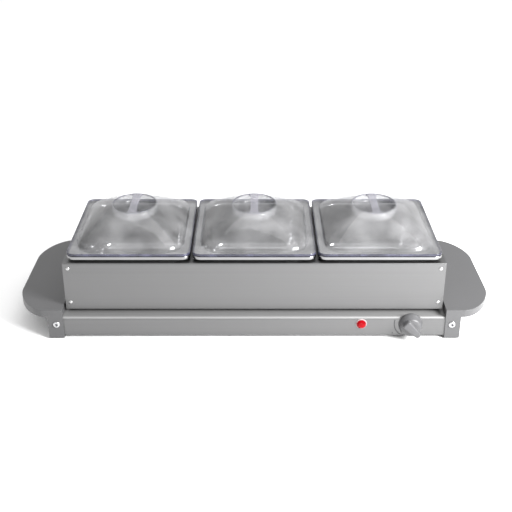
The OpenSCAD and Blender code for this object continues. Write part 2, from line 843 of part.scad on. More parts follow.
// Solid dome whose surface lies inset below the lid's outside.
module dome(inset) {
    half_w = pan_w / 2 - dome_foot;
    half_d = pan_d / 2 - dome_foot;
    level_w = recess_w / 2 + crown_edge;
    level_d = recess_l / 2 + crown_edge;
    tall = lid_h + 4;
    peak = lid_top - inset * 1.1;
    intersection() {
        translate([0, 0, lid_z - 1]) linear_extrude(height = tall)
            rounded_rect(2 * (half_w - inset), 2 * (half_d - inset), mouth_r - inset);
        rotate([90, 0, 0]) translate([0, 0, -pan_d / 2]) linear_extrude(height = pan_d)
            dome_section(half_w, level_w, inset);
        rotate([90, 0, 90]) translate([0, 0, -pan_w / 2]) linear_extrude(height = pan_w)
            dome_section(half_d, level_d, inset);
        translate([0, 0, peak - tall])
            cylinder(r1 = level_d + tall / crown_fall, r2 = level_d, h = tall);
    }
}

module lid(x) {
    edge = 3;
    dish_z = lid_top - recess_depth;
    color([0.85, 0.87, 0.93, 0.5]) translate([x, 0, 0]) difference() {
        union() {
            difference() {
                union() {
                    translate([0, 0, lid_z]) linear_extrude(height = lid_edge_h)
                        rounded_rect(pan_w, pan_d, rim_r);
                    dome(0);
                }
                translate([0, 0, lid_z - 1]) linear_extrude(height = lid_edge_h + 1 - lid_t)
                    rounded_rect(pan_w - 2 * edge, pan_d - 2 * edge, rim_r - edge);
                dome(lid_t);
            }
            translate([0, 0, dish_z - lid_t]) linear_extrude(height = recess_depth + lid_t)
                rounded_rect(recess_w + 2 * lid_t, recess_l + 2 * lid_t, recess_r + lid_t);
        }
        difference() {
            translate([0, 0, dish_z]) linear_extrude(height = recess_depth + 5)
                rounded_rect(recess_w, recess_l, recess_r);
            block([-bar_w / 2, -recess_l / 2 - 1, lid_top - bar_t], [bar_w / 2, recess_l / 2 + 1, lid_top]);
        }
        // everything below the flange plane stays open
        translate([0, 0, lid_z - 5]) cylinder(r = 140, h = 5);
    }
}

module lid_left() {
    lid(-pan_pitch);
}

module lid_centre() {
    lid(0);
}

module lid_right() {
    lid(pan_pitch);
}

warming_plate();
front_panel();
rear_panel();
bottom_cover();
left_end_cap();
right_end_cap();
end_cap_screws();
end_cap_nuts();
rubber_feet();
bottom_cover_screws();
heat_spreader();
heating_element();
heater_clamps();
heater_terminals();
insulation_board();
insulation_pillars();
thermostat_body();
thermostat_nut();
thermostat_bulb();
thermal_fuse();
fuse_clip();
lamp_bezel();
lamp_lens();
lamp_housing();
terminal_block();
terminal_screws();
earth_stud();
cable_gland();
gland_nut();
cord_clamp();
wire_live();
wire_neutral();
wire_earth();
knob();
thermostat_shaft();
knob_spring_clip();
dial_arc();
frame_front();
frame_rear();
frame_left_side();
frame_right_side();
frame_divider_left();
frame_divider_right();
frame_rivets();
frame_pads();
pan_left();
pan_centre();
pan_right();
lid_left();
lid_centre();
lid_right();
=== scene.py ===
import json
import math

import bmesh
import bpy
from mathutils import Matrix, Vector

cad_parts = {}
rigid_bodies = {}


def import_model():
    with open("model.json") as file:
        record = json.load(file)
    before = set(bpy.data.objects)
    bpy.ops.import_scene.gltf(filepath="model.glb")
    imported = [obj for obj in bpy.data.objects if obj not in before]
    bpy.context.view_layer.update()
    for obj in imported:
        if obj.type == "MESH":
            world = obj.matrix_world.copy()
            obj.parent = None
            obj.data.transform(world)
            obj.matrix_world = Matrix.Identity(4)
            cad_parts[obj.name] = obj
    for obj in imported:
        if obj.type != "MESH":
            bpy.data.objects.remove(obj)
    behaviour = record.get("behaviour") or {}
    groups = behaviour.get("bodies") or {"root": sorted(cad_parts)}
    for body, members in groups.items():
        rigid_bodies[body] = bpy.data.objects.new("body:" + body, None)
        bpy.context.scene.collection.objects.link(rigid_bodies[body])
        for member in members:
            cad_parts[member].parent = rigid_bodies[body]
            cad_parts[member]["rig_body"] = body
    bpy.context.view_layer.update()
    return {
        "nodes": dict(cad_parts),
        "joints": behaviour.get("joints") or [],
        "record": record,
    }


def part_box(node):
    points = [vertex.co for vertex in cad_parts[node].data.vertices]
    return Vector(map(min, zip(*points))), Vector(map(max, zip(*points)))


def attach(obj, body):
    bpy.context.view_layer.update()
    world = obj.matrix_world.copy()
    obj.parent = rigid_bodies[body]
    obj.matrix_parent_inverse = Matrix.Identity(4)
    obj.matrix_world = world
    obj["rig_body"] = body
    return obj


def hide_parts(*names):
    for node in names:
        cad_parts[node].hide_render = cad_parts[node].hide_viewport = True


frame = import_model()

MM = 0.001
PLACES = ("left", "centre", "right")


# ---------- camera ----------

CAMERA_AT = (0.0024, -1.1992, 0.6574)
CAMERA_DOWN = 26.03              # degrees below level
LENS = 64.3                      # millimetres, on a 36 mm wide sensor


def make_camera():
    """The viewing angle: level across, looking down from the front."""
    data = bpy.data.cameras.new("camera")
    data.lens = LENS
    data.sensor_width = 36
    data.clip_start = 0.05
    data.clip_end = 30
    camera = bpy.data.objects.new("camera", data)
    bpy.context.scene.collection.objects.link(camera)
    camera.location = CAMERA_AT
    camera.rotation_euler = (math.radians(90 - CAMERA_DOWN), 0, 0)
    bpy.context.scene.camera = camera


# ---------- node helpers ----------

class Nodes:
    """A new material with a Principled shader, and short ways to add nodes to it."""

    def __init__(self, name, colour=(0.5, 0.5, 0.5), **sockets):
        self.material = bpy.data.materials.new(name)
        self.material.use_nodes = True
        self.tree = self.material.node_tree
        self.shader = self.tree.nodes["Principled BSDF"]
        self.shader.inputs["Base Color"].default_value = (*colour, 1)
        for socket, value in sockets.items():
            self.shader.inputs[socket.replace("_", " ")].default_value = value
        self.place = self.tree.nodes.new("ShaderNodeTexCoord").outputs["Object"]

    def link(self, source, target):
        self.tree.links.new(source, target)

    def stretched(self, scale):
        """Object coordinates, scaled differently along each axis."""
        mapping = self.tree.nodes.new("ShaderNodeMapping")
        mapping.inputs["Scale"].default_value = scale
        self.link(self.place, mapping.inputs["Vector"])
        return mapping.outputs["Vector"]

    def noise(self, scale, stretch=(1, 1, 1), detail=3.0, roughness=0.5):
        node = self.tree.nodes.new("ShaderNodeTexNoise")
        node.inputs["Scale"].default_value = scale
        node.inputs["Detail"].default_value = detail
        node.inputs["Roughness"].default_value = roughness
        self.link(self.stretched(stretch), node.inputs["Vector"])
        return node.outputs["Fac"]

    def spread(self, value, low, high, start=0.3, end=0.7):
        """Maps a value that runs from start to end, as a noise does, to the range from low to high."""
        node = self.tree.nodes.new("ShaderNodeMapRange")
        node.inputs["From Min"].default_value = start
        node.inputs["From Max"].default_value = end
        node.inputs["To Min"].default_value = low
        node.inputs["To Max"].default_value = high
        self.link(value, node.inputs["Value"])
        return node.outputs["Result"]

    def ramp(self, value, colours, start=0.3, end=0.7):
        """Blends colours along a value."""
        node = self.tree.nodes.new("ShaderNodeValToRGB")
        elements = node.color_ramp.elements
        while len(elements) < len(colours):
            elements.new(0.5)
        for i, colour in enumerate(colours):
            elements[i].position = start + (end - start) * i / (len(colours) - 1)
            elements[i].color = (*colour, 1)
        self.link(value, node.inputs["Fac"])
        return node.outputs["Color"]

    def mix(self, a, b, factor=0.5):
        node = self.tree.nodes.new("ShaderNodeMix")
        node.data_type = "FLOAT"
        node.inputs[0].default_value = factor
        self.link(a, node.inputs[2])
        self.link(b, node.inputs[3])
        return node.outputs[0]

    def bump(self, height, strength, distance):
        node = self.tree.nodes.new("ShaderNodeBump")
        node.inputs["Strength"].default_value = strength
        node.inputs["Distance"].default_value = distance
        self.link(height, node.inputs["Height"])
        self.link(node.outputs["Normal"], self.shader.inputs["Normal"])

    def set(self, socket, value):
        self.link(value, self.shader.inputs[socket])


def shades(colour, amount):
    """A darker and a lighter version of a colour."""
    return [tuple(c * (1 + k) for c in colour) for k in (-amount, amount)]


# ---------- materials ----------

def brushed_steel(name, colour, along=(1, 0, 0), roughness=0.42, metallic=1.0):
    """Steel with a fine grain that runs along one axis."""
    m = Nodes(name, colour, Metallic=metallic)
    grain_scale = tuple(3 if a else 420 for a in along)
    cloud_scale = tuple(2 if a else 22 for a in along)
    grain = m.noise(1, grain_scale, detail=4)
    cloud = m.noise(1, cloud_scale, detail=2)
    both = m.mix(grain, cloud, 0.35)
    m.set("Base Color", m.ramp(both, shades(colour, 0.05)))
    m.set("Roughness", m.spread(both, roughness - 0.04, roughness + 0.07))
    m.bump(grain, 0.08, 0.00003)
    return m.material


def polished_steel(name, colour):
    """Drawn and polished pan steel: bright, with faint drawing marks and a little haze."""
    m = Nodes(name, colour, Metallic=1.0)
    haze = m.noise(38, detail=3)
    drawn = m.noise(1, (60, 60, 900), detail=2)
    m.set("Roughness", m.spread(m.mix(haze, drawn, 0.4), 0.10, 0.22))
    m.set("Base Color", m.ramp(haze, shades(colour, 0.04)))
    m.bump(m.noise(14, detail=2), 0.25, 0.0003)
    return m.material


def moulded(name, colour, roughness=0.5, grain=900, depth=0.00006):
    """Moulded plastic or rubber with a fine eroded texture."""
    m = Nodes(name, colour)
    fine = m.noise(grain, detail=2)
    cloud = m.noise(9, detail=3)
    m.set("Base Color", m.ramp(cloud, shades(colour, 0.05)))
    m.set("Roughness", m.spread(fine, roughness - 0.05, roughness + 0.07))
    m.bump(fine, 0.35, depth)
    return m.material


def plain_metal(name, colour, roughness=0.25, grain=300):
    """Turned, plated or mill metal on small parts."""
    m = Nodes(name, colour, Metallic=1.0)
    cloud = m.noise(grain, detail=3)
    m.set("Base Color", m.ramp(cloud, shades(colour, 0.06)))
    m.set("Roughness", m.spread(cloud, roughness - 0.05, roughness + 0.08))
    m.bump(cloud, 0.1, 0.00004)
    return m.material


def fibre_board(name, colour):
    """Pressed mineral board with coarse fibres."""
    m = Nodes(name, colour, Roughness=0.9)
    fibre = m.noise(120, (1, 6, 1), detail=5)
    m.set("Base Color", m.ramp(fibre, shades(colour, 0.12)))
    m.bump(fibre, 0.5, 0.0003)
    return m.material


SHINE_POWER = 4.5                # how fast the shine grows towards a grazing view


def see_through(m, mist, tint, roughness):
    """Makes a material clear: its Principled shader is the mist on it, and it shines at a slant."""
    nodes = m.tree.nodes
    clear = nodes.new("ShaderNodeBsdfTransparent")
    clear.inputs["Color"].default_value = (*tint, 1)
    gloss = nodes.new("ShaderNodeBsdfGlossy")
    gloss.inputs["Roughness"].default_value = roughness
    slant = nodes.new("ShaderNodeLayerWeight").outputs["Facing"]
    shine = nodes.new("ShaderNodeMath")
    shine.operation = "POWER"
    shine.inputs[1].default_value = SHINE_POWER
    m.link(slant, shine.inputs[0])
    shine = m.spread(shine.outputs[0], 0.03, 0.45, 0, 1)
    misted = nodes.new("ShaderNodeMixShader")
    whole = nodes.new("ShaderNodeMixShader")
    m.link(mist, misted.inputs[0])
    m.link(clear.outputs[0], misted.inputs[1])
    m.link(m.shader.outputs[0], misted.inputs[2])
    m.link(shine, whole.inputs[0])
    m.link(misted.outputs[0], whole.inputs[1])
    m.link(gloss.outputs[0], whole.inputs[2])
    m.link(whole.outputs[0], nodes["Material Output"].inputs["Surface"])


def clear_lid(name):
    """Clear moulded plastic with a faint mist of condensation."""
    m = Nodes(name, (0.86, 0.86, 0.9), Roughness=0.55)
    cloud = m.noise(24, detail=4)
    m.set("Base Color", m.ramp(cloud, [(0.44, 0.44, 0.45), (0.58, 0.58, 0.59)]))
    see_through(m, m.spread(cloud, 0.06, 0.17), (0.955, 0.957, 0.962), 0.13)
    return m.material


def clear_bar(name):
    """The lid's grip bar: the same plastic, misted more heavily as painted sheen, for the whiter look it
    has seen edge on.
    """
    m = Nodes(name, (0.84, 0.83, 0.9), Roughness=0.3)
    cloud = m.noise(60, detail=3)
    m.set("Base Color", m.ramp(cloud, [(0.20, 0.20, 0.23), (0.32, 0.31, 0.35)]))
    see_through(m, m.spread(cloud, 0.3, 0.5), (0.93, 0.93, 0.95), 0.05)
    return m.material


def clear_edge(name):
    """The lid's edge: a little violet, the plastic's own tint seen through its whole width, and darker
    with painted shade for the light the edge bends away.
    """
    m = Nodes(name, (0.3, 0.29, 0.4), Roughness=0.2)
    cloud = m.noise(60, detail=3)
    m.set("Base Color", m.ramp(cloud, [(0.03, 0.03, 0.055), (0.08, 0.08, 0.13)]))
    see_through(m, m.spread(cloud, 0.5, 0.75), (0.24, 0.24, 0.31), 0.08)
    return m.material


def red_lens(name):
    """The lamp's red plastic."""
    m = Nodes(name, (0.4, 0.002, 0.008), Specular_IOR_Level=0.12)
    glow = m.noise(220, detail=2)
    m.set("Base Color", m.ramp(glow, [(0.15, 0.0, 0.002), (0.26, 0.001, 0.004)]))
    m.set("Roughness", m.spread(glow, 0.06, 0.14))
    return m.material


def clear_bezel(name):
    """The lamp's clear bezel, with painted red light from the lens where it's near the lens, fading
    outward.
    """
    low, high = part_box("lamp_lens")
    middle = (low + high) / 2
    radius = (high.x - low.x) / 2
    m = Nodes(name, (0.4, 0.32, 0.32), Roughness=0.1, IOR=1.49)
    cloud = m.noise(300, detail=2)
    reach = m.tree.nodes.new("ShaderNodeVectorMath")
    reach.operation = "DISTANCE"
    reach.inputs[1].default_value = (middle.x, 0, middle.z)
    m.link(m.stretched((1, 0, 1)), reach.inputs[0])
    outward = m.spread(reach.outputs["Value"], 0, 1, radius, 1.26 * radius)
    # painted light: the lens's red in the bezel, fading out from the lens's edge
    m.set("Base Color", m.ramp(outward, [(0.3, 0.002, 0.008), (0.32, 0.08, 0.09), (0.4, 0.32, 0.32)]))
    m.set("Alpha", m.spread(cloud, 0.7, 0.85))
    m.set("Roughness", m.spread(cloud, 0.08, 0.2))
    return m.material


def floor_white():
    """The pale floor under the object."""
    m = Nodes("floor_white", (0.96, 0.96, 0.96), Roughness=0.8)
    m.set("Roughness", m.spread(m.noise(3), 0.75, 0.85))
    return m.material


STEEL = (0.163, 0.163, 0.164)
GREY = (0.070, 0.070, 0.072)

slot_materials = {
    "plate_steel": brushed_steel("plate_steel", (0.24, 0.24, 0.24), roughness=0.45, metallic=0.35),
    "brushed_steel": brushed_steel("brushed_steel", STEEL),
    "cover_steel": plain_metal("cover_steel", (0.58, 0.59, 0.6), 0.45, 40),
    "grey_plastic": moulded("grey_plastic", GREY, 0.36),
    "knob_plastic": moulded("knob_plastic", (0.074, 0.074, 0.077), 0.38),
    "screw_chrome": plain_metal("screw_chrome", (0.54, 0.54, 0.55), 0.18),
    "black_rubber": moulded("black_rubber", (0.02, 0.02, 0.02), 0.8, 500),
    "aluminium": plain_metal("aluminium", (0.75, 0.75, 0.77), 0.35, 60),
    "heater_tube": plain_metal("heater_tube", (0.18, 0.13, 0.11), 0.5, 90),
    "clip_steel": plain_metal("clip_steel", (0.62, 0.62, 0.62), 0.3),
    "ceramic": moulded("ceramic", (0.82, 0.8, 0.73), 0.6, 600),
    "insulation": fibre_board("insulation", (0.66, 0.62, 0.52)),
    "white_plastic": moulded("white_plastic", (0.76, 0.75, 0.71), 0.4),
    "copper": plain_metal("copper", (0.72, 0.38, 0.24), 0.28),
    "lamp_clear": clear_bezel("lamp_clear"),
    "lamp_red": red_lens("lamp_red"),
    "brass": plain_metal("brass", (0.75, 0.55, 0.22), 0.25),
    "black_plastic": moulded("black_plastic", (0.02, 0.02, 0.022), 0.45),
    "wire_brown": moulded("wire_brown", (0.1, 0.035, 0.012), 0.35),
    "wire_blue": moulded("wire_blue", (0.01, 0.05, 0.3), 0.35),
    "wire_green": moulded("wire_green", (0.12, 0.35, 0.03), 0.35),
    "dial_ink": moulded("dial_ink", (0.03, 0.03, 0.033), 0.5),
    "pan_steel": polished_steel("pan_steel", (0.255, 0.255, 0.258)),
    "clear_lid": clear_lid("clear_lid"),
}
# the grip bars' material: extra mist as painted sheen
bar_plastic = clear_bar("bar_plastic")
# the lids' edge material: the plastic's violet tint, darkened with painted shade
edge_tint_and_shade = clear_edge("edge_tint_and_shade")
# painted shade: the screw sockets' steel is darkened for the shade inside them
socket_painted_shade = plain_metal("socket_painted_shade", (0.16, 0.16, 0.17), 0.35)
rivet_steel = plain_metal("rivet_steel", (0.46, 0.46, 0.46), 0.34)
side_steel = brushed_steel("side_steel", STEEL, along=(0, 1, 0))


def dress(obj, material):
    """Gives an object one material."""
    obj.data.materials.clear()
    obj.data.materials.append(material)


slot_of = {s["node"]: s["material_slot"] for s in frame["record"]["subparts"]}


def dress_cad_nodes():
    """Every CAD node gets its slot's material; the frame's sides have their grain from front to rear."""
    for node, obj in frame["nodes"].items():
        dress(obj, slot_materials[slot_of[node]])
    for node in ("frame_left_side", "frame_right_side"):
        dress(frame["nodes"][node], side_steel)


# ---------- mesh helpers ----------

def make_piece(name, points, faces, body, replaced, slot, smooth_angle):
    """A mesh object that rides on a body, stands for a CAD node and takes its slot's material."""
    mesh = bpy.data.meshes.new(name)
    mesh.from_pydata([tuple(p) for p in points], [], faces)
    mesh.validate()
    mesh.update()
    obj = bpy.data.objects.new(name, mesh)
    bpy.context.scene.collection.objects.link(obj)
    dress(obj, slot_materials[slot])
    mesh.shade_smooth()
    mesh.set_sharp_from_angle(angle=math.radians(smooth_angle))
    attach(obj, body)
    if replaced:
        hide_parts(*replaced)
    return obj


def thicken(piece, thickness):
    """Gives a sheet its thickness, towards its inner side."""
    wall = piece.modifiers.new("wall", "SOLIDIFY")
    wall.thickness = thickness
    wall.offset = -1


QUARTERS = ((1, 1, 0), (-1, 1, 90), (-1, -1, 180), (1, -1, 270))  # signs and start angle of each corner


def rounded_ring(half_x, half_y, radius, per_corner=10, per_side=8):
    """Points round a rounded rectangle, in order, starting at the middle of the +X side."""
    ring = []
    for sx, sy, start in QUARTERS:
        centre = Vector((sx * (half_x - radius), sy * (half_y - radius)))
        for i in range(per_corner + 1):
            turn = math.radians(start + 90 * i / per_corner)
            ring.append(centre + radius * Vector((math.cos(turn), math.sin(turn))))
    full = []
    for a, b in zip(ring, ring[1:] + ring[:1]):
        full.append(a)
        gap = (b - a).length
        if gap > radius * math.pi / per_corner:
            full += [a.lerp(b, k / per_side) for k in range(1, per_side)]
    return full


def level_ring(box, inset, z, corner):
    """A rounded rectangle at height z, drawn in from a box's sides."""
    low, high = box
    centre = (low + high) / 2
    half = (high - low) / 2
    ring = rounded_ring(half.x - inset, half.y - inset, corner)
    return [Vector((centre.x + p.x, centre.y + p.y, z)) for p in ring]


def loft(rings, close_start=False, close_end=False):
    """Quads between rings of equal length, each ring a list of 3-D points."""
    count = len(rings[0])
    points = [p for ring in rings for p in ring]
    faces = []
    for r in range(len(rings) - 1):
        for i in range(count):
            j = (i + 1) % count
            faces.append((r * count + i, r * count + j, (r + 1) * count + j, (r + 1) * count + i))
    if close_start:
        faces.append(tuple(reversed(range(count))))
    if close_end:
        last = (len(rings) - 1) * count
        faces.append(tuple(range(last, last + count)))
    return points, faces


# ---------- lids ----------

LID_T = 2.2 * MM                 # wall thickness
RIM_CORNER = 11 * MM             # corner radius of the lids' and pans' outlines
LID_EDGE_H = 3.4 * MM            # height of the lid's edge
LID_EDGE_R = 0.8 * MM            # rounding on top of that edge
DOME_FOOT = 9.6 * MM             # from the lid's edge to the dome
DOME_CORNER = 30 * MM
FOOT_FILLET = 2.5 * MM           # where the dome rises from the flange
FOOT_STEEPNESS = 78              # degrees
SHOULDER_H = 9.4 * MM            # where the dome's side turns into its crown
CROWN_SWELL = 2.0 * MM
CROWN_STEPS = 14
RECESS_X = 30 * MM               # half the grip recess, across and from front to rear
RECESS_Y = 35 * MM
RECESS_DEPTH = 12.5 * MM
RECESS_FILLET = 2.4 * MM
BAR_W = 11 * MM                  # the bar across the recess
BAR_T = 3.2 * MM
BAR_EDGE_R = 1.1 * MM
BAR_FLARE = 6 * MM               # how much wider the bar is at its ends
BAR_STEPS = 12


def lid_edge_rings(box):
    """The lid's edge: upright, then rounded over to the flange."""
    base = box[0].z
    round_z = base + LID_EDGE_H - LID_EDGE_R
    rings = [level_ring(box, 0, base, RIM_CORNER), level_ring(box, 0, round_z, RIM_CORNER)]
    for t in (0.33, 0.66, 1.0):
        turn = t * math.pi / 2
        inset = LID_EDGE_R * (1 - math.cos(turn))
        rings.append(level_ring(box, inset, round_z + LID_EDGE_R * math.sin(turn), RIM_CORNER - inset))
    return rings


def lid_flange_rings(box):
    """The flat flange, with corners that widen to the dome's foot, and the fillet into the dome."""
    flange_z = box[0].z + LID_EDGE_H
    rings = []
    for t in (0.25, 0.5, 0.75, 1.0):
        inset = LID_EDGE_R + (DOME_FOOT - FOOT_FILLET - LID_EDGE_R) * t
        corner = RIM_CORNER + (DOME_CORNER + FOOT_FILLET - RIM_CORNER) * t
        rings.append(level_ring(box, inset, flange_z, corner))
    for t in (0.25, 0.5, 0.75, 1.0):
        turn = t * math.radians(FOOT_STEEPNESS)
        inward = FOOT_FILLET * (1 - math.sin(turn))
        rise = FOOT_FILLET * (1 - math.cos(turn))
        rings.append(level_ring(box, DOME_FOOT - inward, flange_z + rise, DOME_CORNER + inward))
    return rings


def lid_shoulder_rings(box):
    """The turn into the crown. Each step: further in, below the shoulder's height, off the corner."""
    shoulder_z = box[0].z + SHOULDER_H
    steps = ((1.0, 2.6, 0.8), (1.8, 1.0, 1.6), (3.2, 0, 3))
    return [level_ring(box, DOME_FOOT + inward * MM, shoulder_z - below * MM, DOME_CORNER - off * MM)
            for inward, below, off in steps]


def recess_ring(box, shoulder, out, z):
    """The recess's outline, drawn out by a distance, with a point for each of the shoulder's."""
    low, high = box
    centre = (low + high) / 2
    half = (high - low) / 2
    ring = []
    for p in shoulder:
        turn = math.atan2((p.y - centre.y) / half.y, (p.x - centre.x) / half.x)
        ring.append(Vector((centre.x + (RECESS_X + out) * math.cos(turn),
                            centre.y + (RECESS_Y + out) * math.sin(turn), z)))
    return ring


def lid_crown_rings(box, shoulder):
    """The crown, which swells a little between the shoulder and the recess's rim."""
    rim = recess_ring(box, shoulder, 1.8 * MM, box[1].z - 0.5 * MM)
    rings = []
    for k in range(1, CROWN_STEPS + 1):
        t = k / CROWN_STEPS
        swell = Vector((0, 0, CROWN_SWELL * math.sin(math.pi * t)))
        rings.append([a.lerp(b, t) + swell for a, b in zip(shoulder, rim)])
    return rings


def lid_recess_rings(box, shoulder):
    """The grip recess: over its rim, down its wall, round its fillet and across its floor."""
    top = box[1].z
    floor_z = top - RECESS_DEPTH
    rings = []
    for out, drop in ((0.9, 0.0), (0.2, 0.1), (-0.1, 1.0), (-0.5, RECESS_DEPTH / MM / 2)):
        rings.append(recess_ring(box, shoulder, out * MM, top - drop * MM))
    for t in (0, 0.25, 0.5, 0.75, 1.0):
        turn = t * math.pi / 2
        inward = 0.9 * MM + RECESS_FILLET * (1 - math.cos(turn))
        z = floor_z + RECESS_FILLET * (1 - math.sin(turn))
        rings.append(recess_ring(box, shoulder, -inward, z))
    for inward in (10, 18, 25):
        rings.append(recess_ring(box, shoulder, -inward * MM, floor_z))
    return rings


def lid_rings(box):
    """Rings of the lid's outer surface, from its lower edge over the dome to the recess's middle."""
    rings = lid_edge_rings(box) + lid_flange_rings(box) + lid_shoulder_rings(box)
    shoulder = rings[-1]
    return rings + lid_crown_rings(box, shoulder) + lid_recess_rings(box, shoulder)


def bar_section():
    """The bar's cross-section: a strip with rounded edges, as (across, up) from its middle."""
    section = []
    for sx, sz, start in QUARTERS:
        for k in range(5):
            turn = math.radians(start + 90 * k / 4)
            section.append((sx * (BAR_W / 2 - BAR_EDGE_R) + BAR_EDGE_R * math.cos(turn),
                            sz * (BAR_T / 2 - BAR_EDGE_R) + BAR_EDGE_R * math.sin(turn)))
    return section


def grip_bar(box):
    """The bar across the recess, from front to rear, wider where it meets the rim."""
    low, high = box
    centre = (low + high) / 2
    reach = RECESS_Y * math.sqrt(1 - (BAR_W / 2 / RECESS_X) ** 2) + 0.6 * MM
    rings = []
    for k in range(BAR_STEPS + 1):
        along = -reach + 2 * reach * k / BAR_STEPS
        near_end = max(0, abs(along) / reach - 0.7) / 0.3
        widen = 1 + BAR_FLARE * near_end ** 2 / BAR_W
        rings.append([Vector((centre.x + x * widen, centre.y + along, high.z - BAR_T / 2 + z))
                      for x, z in bar_section()])
    return loft(rings, close_start=True, close_end=True)


def mark_edges(lid, box):
    """Gives the second material, the tint with painted shade, to the faces of the lid's edge and of the
    recess's rim.
    """
    low, high = box
    for face in lid.data.polygons:
        at_edge = face.center.z < low.z + LID_EDGE_H - 0.1 * MM and abs(face.normal.z) < 0.9
        at_rim = face.center.z > high.z - 1.2 * MM and abs(face.normal.z) < 0.75
        if at_edge or at_rim:
            face.material_index = 1


def make_lids():
    for place in PLACES:
        node = f"lid_{place}"
        body = f"{place}_lid"
        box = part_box(node)
        lid = make_piece(f"lid_shell_{place}", *loft(lid_rings(box), close_end=True),
                         body, [node], "clear_lid", 50)
        # the edge and rim faces take the darker material, painted shade
        lid.data.materials.append(edge_tint_and_shade)
        mark_edges(lid, box)
        thicken(lid, LID_T)
        bar = make_piece(f"lid_bar_{place}", *grip_bar(box), body, [], "clear_lid", 50)
        dress(bar, bar_plastic)


# ---------- pans ----------

PAN_T = 0.9 * MM                 # sheet thickness
PAN_RIM = 11 * MM                # from the outline to the mouth
PAN_DEPTH = 70 * MM
PAN_DRAFT = 6.5 * MM             # how far the wall leans in
MOUTH_CORNER = 30 * MM
MOUTH_FILLET = 2.0 * MM
MOUTH_STEEPNESS = 84             # degrees
FLOOR_FILLET = 12 * MM
BEAD_H = 5.8 * MM                # the rolled bead round the rim
BEAD_R = 1.5 * MM
BEAD_W = 2.4 * MM
RIM_DROP = 0.3 * MM              # of the flat rim below the bead's top


def bead_rings(box):
    """The bead, from its inner lower edge, round the outside and over the top."""
    top = box[1].z
    lower = [(angle, top - BEAD_H + BEAD_R) for angle in range(-180, 1, 30)]
    upper = [(angle, top - BEAD_R) for angle in range(0, 81, 20)]
    rings = []
    for angle, centre_z in lower + upper:
        turn = math.radians(angle)
        inset = BEAD_R - BEAD_R * math.cos(turn)
        rings.append(level_ring(box, inset, centre_z + BEAD_R * math.sin(turn), RIM_CORNER - inset))
    return rings


def mouth_rings(box):
    """The flat rim, with corners that widen to the mouth, and the fillet down into it."""
    rim_z = box[1].z - RIM_DROP
    outer_corner = RIM_CORNER - BEAD_W
    inner_corner = MOUTH_CORNER + MOUTH_FILLET
    rings = []
    for t in (0, 0.25, 0.5, 0.75, 1.0):
        inset = BEAD_W + (PAN_RIM - MOUTH_FILLET - BEAD_W) * t
        rings.append(level_ring(box, inset, rim_z, outer_corner + (inner_corner - outer_corner) * t))
    for t in (0.25, 0.5, 0.75, 1.0):
        turn = t * math.radians(MOUTH_STEEPNESS)
        outward = MOUTH_FILLET * (1 - math.sin(turn))
        z = rim_z - MOUTH_FILLET * (1 - math.cos(turn))
        rings.append(level_ring(box, PAN_RIM - outward, z, MOUTH_CORNER + outward))
    return rings


def well_rings(box):
    """The wall with its draft, the fillet at its foot, and the floor."""
    wall_top = box[1].z - RIM_DROP - MOUTH_FILLET
    floor_z = box[1].z - RIM_DROP - PAN_DEPTH
    wall_foot = floor_z + FLOOR_FILLET
    foot_inset = PAN_RIM + PAN_DRAFT
    rings = []
    for t in (0.3, 0.6, 0.9):
        z = wall_top + (wall_foot - wall_top) * t
        rings.append(level_ring(box, PAN_RIM + PAN_DRAFT * t, z, MOUTH_CORNER - PAN_DRAFT * t))
    for k in range(9):
        turn = k / 8 * math.pi / 2
        inward = FLOOR_FILLET * (1 - math.cos(turn))
        z = floor_z + FLOOR_FILLET * (1 - math.sin(turn))
        rings.append(level_ring(box, foot_inset + inward, z, MOUTH_CORNER - PAN_DRAFT - inward))
    for inward in (20, 34, 50, 63):
        rings.append(level_ring(box, foot_inset + inward * MM, floor_z, 6 * MM))
    return rings


def make_pans():
    for place in PLACES:
        node = f"pan_{place}"
        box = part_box(node)
        rings = bead_rings(box) + mouth_rings(box) + well_rings(box)
        pan = make_piece(f"pan_sheet_{place}", *loft(rings, close_end=True),
                         f"{place}_pan", [node], "pan_steel", 60)
        thicken(pan, PAN_T)


# ---------- softened copies of hard parts ----------

SOFT_ANGLE = math.radians(35)    # edges sharper than this are rounded
FLAT_ANGLE = math.radians(1.5)   # faces closer than this are joined first
WELD = 0.01 * MM


def soften(node, width, segments=2):
    """Replaces a CAD node with a copy whose edges are rounded."""
    source = frame["nodes"][node]
    mesh = source.data.copy()
    mesh.name = node + "_soft"
    work = bmesh.new()
    work.from_mesh(mesh)
    bmesh.ops.remove_doubles(work, verts=work.verts, dist=WELD)
    bmesh.ops.dissolve_limit(work, angle_limit=FLAT_ANGLE, verts=work.verts, edges=work.edges)
    work.to_mesh(mesh)
    work.free()
    piece = bpy.data.objects.new(node + "_soft", mesh)
    bpy.context.scene.collection.objects.link(piece)
    mesh.shade_smooth()
    mesh.set_sharp_from_angle(angle=SOFT_ANGLE)
    bevel = piece.modifiers.new("edges", "BEVEL")
    bevel.width = width
    bevel.segments = segments
    bevel.limit_method = "ANGLE"
    bevel.angle_limit = SOFT_ANGLE
    bevel.harden_normals = True
    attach(piece, source["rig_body"])
    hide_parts(node)


def soften_hard_parts():
    """Moulded parts have rounder edges than folded sheet."""
    for node in ("left_end_cap", "right_end_cap"):
        soften(node, 1.0 * MM, 3)
    for node in ("front_panel", "rear_panel"):
        soften(node, 0.25 * MM)
    for node in ("frame_front", "frame_rear", "frame_left_side", "frame_right_side",
                 "frame_divider_left", "frame_divider_right", "cable_gland", "bottom_cover"):
        soften(node, 0.3 * MM)


# ---------- turned parts ----------

